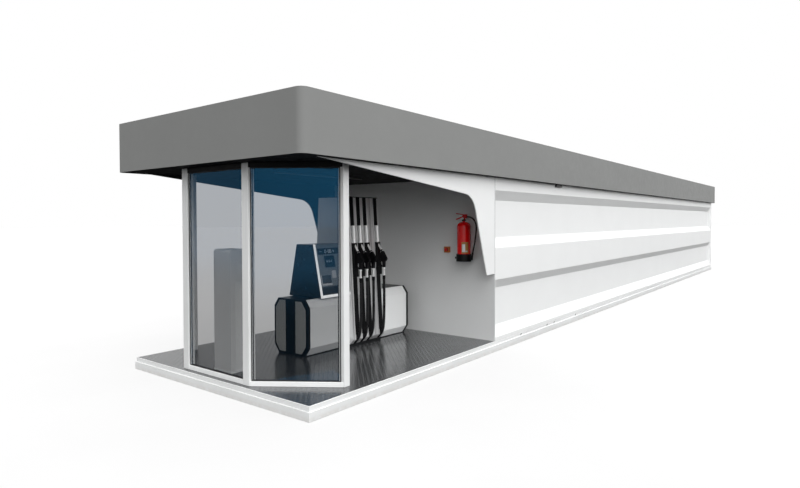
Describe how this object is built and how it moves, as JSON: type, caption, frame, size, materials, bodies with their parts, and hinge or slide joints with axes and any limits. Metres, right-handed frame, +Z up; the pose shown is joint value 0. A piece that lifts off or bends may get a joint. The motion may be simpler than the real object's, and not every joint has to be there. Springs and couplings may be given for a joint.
{
  "type": "container filling station with canopy",
  "caption": "Long container filling station: ribbed white housing, grey flat roof reaching over a glazed dispensing bay with a fuel dispenser, pay terminal and fire extinguisher.",
  "frame": {"origin": "middle of the roof's length and width, at ground level", "axes": "+Z up, +Y from the glazed front end to the rear end, +X to the right seen from the front"},
  "size_m": [3.196, 19.578, 2.918],
  "materials": {
    "base_paint": "white satin paint on folded steel",
    "deck_tread": "dark glossy chequer plate",
    "floor_steel": "grey primer",
    "wall_paint": "white satin paint on profiled sheet",
    "bay_wall_paint": "light grey satin paint",
    "wing_paint": "white satin paint",
    "fascia_paint": "mid grey satin paint",
    "roof_paint": "grey matt paint",
    "soffit_black": "black matt paint",
    "lamp_cover": "opal cover",
    "post_aluminium": "light grey powder coat",
    "rail_white": "white powder coat",
    "rail_dark": "dark powder coat",
    "tinted_glass": "blue grey tinted laminated glass",
    "terminal_paint": "mid grey textured paint",
    "terminal_panel": "grey textured paint",
    "cabinet_black": "black gloss paint",
    "cabinet_white": "white satin paint",
    "cabinet_grey": "dark grey textured paint",
    "head_dark": "blue black gloss paint",
    "trim_white": "white edge trim",
    "display_glass": "dark display window",
    "mast_silver": "silver anodised",
    "boot_black": "black moulded plastic",
    "spout_metal": "bright sleeve",
    "nozzle_black": "black nozzle cover",
    "coupling_metal": "bright hose coupling",
    "hose_rubber": "black smooth hose",
    "bottle_red": "red gloss paint",
    "boot_plastic": "black moulded foot",
    "valve_red": "red levers on a metal valve",
    "stop_orange": "orange housing"
  },
  "bodies": {
    "root": {"base_side_beams": "base_paint", "base_end_beams": "base_paint", "deck_plate": "deck_tread", "housing_floor": "floor_steel", "side_wall_right": "wall_paint", "side_wall_left": "wall_paint", "bay_rear_wall": "bay_wall_paint", "housing_end_wall": "wall_paint", "wing_panel_right": "wing_paint", "wing_panel_left": "wing_paint", "fascia_front": "fascia_paint", "fascia_rear": "fascia_paint", "fascia_right": "fascia_paint", "fascia_left": "fascia_paint", "soffit": "soffit_black", "roof_cap": "roof_paint", "ceiling_light": "lamp_cover", "screen_posts": "post_aluminium", "screen_bottom_rails": "rail_white", "screen_top_rails": "rail_dark", "screen_glass_front": "tinted_glass", "screen_glass_right": "tinted_glass", "screen_glass_left": "tinted_glass", "pay_terminal": "terminal_paint", "pay_terminal_panel": "terminal_panel", "cabinet_front": "cabinet_black", "cabinet_rear": "cabinet_black", "cabinet_side_panels": "cabinet_white", "cabinet_end_panels": "cabinet_grey", "display_head": "head_dark", "display_head_trim": "trim_white", "display_panels": "display_glass", "hose_mast": "mast_silver", "nozzle_boots": "boot_black", "nozzle_spouts": "spout_metal", "nozzle_bodies": "nozzle_black", "hose_couplings": "coupling_metal", "hose_right_1": "hose_rubber", "hose_right_2": "hose_rubber", "hose_right_3": "hose_rubber", "hose_right_4": "hose_rubber", "hose_left_1": "hose_rubber", "hose_left_2": "hose_rubber", "hose_left_3": "hose_rubber", "hose_left_4": "hose_rubber", "extinguisher_bottle": "bottle_red", "extinguisher_boot": "boot_plastic", "extinguisher_valve": "valve_red", "extinguisher_hose": "hose_rubber", "emergency_stop": "stop_orange"}
  },
  "joints": []
}
